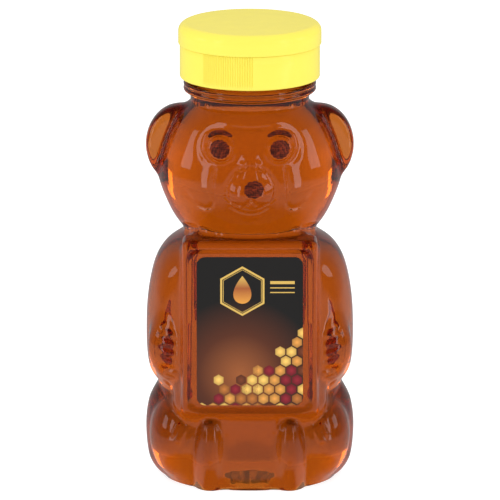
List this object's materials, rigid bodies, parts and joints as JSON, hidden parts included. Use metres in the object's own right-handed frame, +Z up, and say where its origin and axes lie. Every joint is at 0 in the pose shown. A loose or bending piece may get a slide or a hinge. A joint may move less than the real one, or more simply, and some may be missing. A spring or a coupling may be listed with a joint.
{
  "type": "honey bear bottle",
  "caption": "Bear-shaped clear squeeze bottle of honey with a yellow screw cap, a flip lid over the spout and labels front and back.",
  "frame": {"origin": "middle of the base, on the surface that the bottle stands on", "axes": "+Z up through the neck and cap, the bear faces -Y, +X to the right of someone who looks at its face"},
  "size_m": [0.062, 0.0526, 0.1381],
  "materials": {
    "clear_bottle_plastic": "clear, glossy blow-moulded plastic",
    "amber_honey": "clear amber honey",
    "front_label_film": "printed film, satin, black with a honeycomb pattern",
    "back_label_film": "printed film, satin, black with a plain cream field",
    "brown_ink": "dark brown printed ink, stippled",
    "white_foam_liner": "foamed sealing disc",
    "yellow_cap_plastic": "glossy moulded polypropylene"
  },
  "bodies": {
    "bottle": {"bottle_shell": "clear_bottle_plastic", "honey": "amber_honey", "front_label": "front_label_film", "back_label": "back_label_film", "left_eye_print": "brown_ink", "right_eye_print": "brown_ink", "nose_print": "brown_ink"},
    "liner": {"seal_liner": "white_foam_liner"},
    "cap": {"cap_base": "yellow_cap_plastic", "living_hinge": "yellow_cap_plastic"},
    "flip_lid": {"lid": "yellow_cap_plastic"}
  },
  "joints": [
    {"name": "cap_rise", "type": "slide", "parent": "bottle", "child": "liner", "axis": [0, 0, 1], "range_m": [0, 0.01165]},
    {"name": "cap_turn", "type": "hinge", "parent": "liner", "child": "cap", "pos_m": [0, 0, 0.1254], "axis": [0, 0, 1], "range_deg": [0, 990]},
    {"name": "lid_flip", "type": "hinge", "parent": "cap", "child": "flip_lid", "pos_m": [-0.00689, 0.02002, 0.1315], "axis": [-0.9455, -0.3256, 0], "range_deg": [0, 165], "deforming": ["living_hinge"]}
  ],
  "couplings": [
    {"joint": "cap_rise", "follows": "cap_turn", "m_per_rad": 0.00067376}
  ]
}
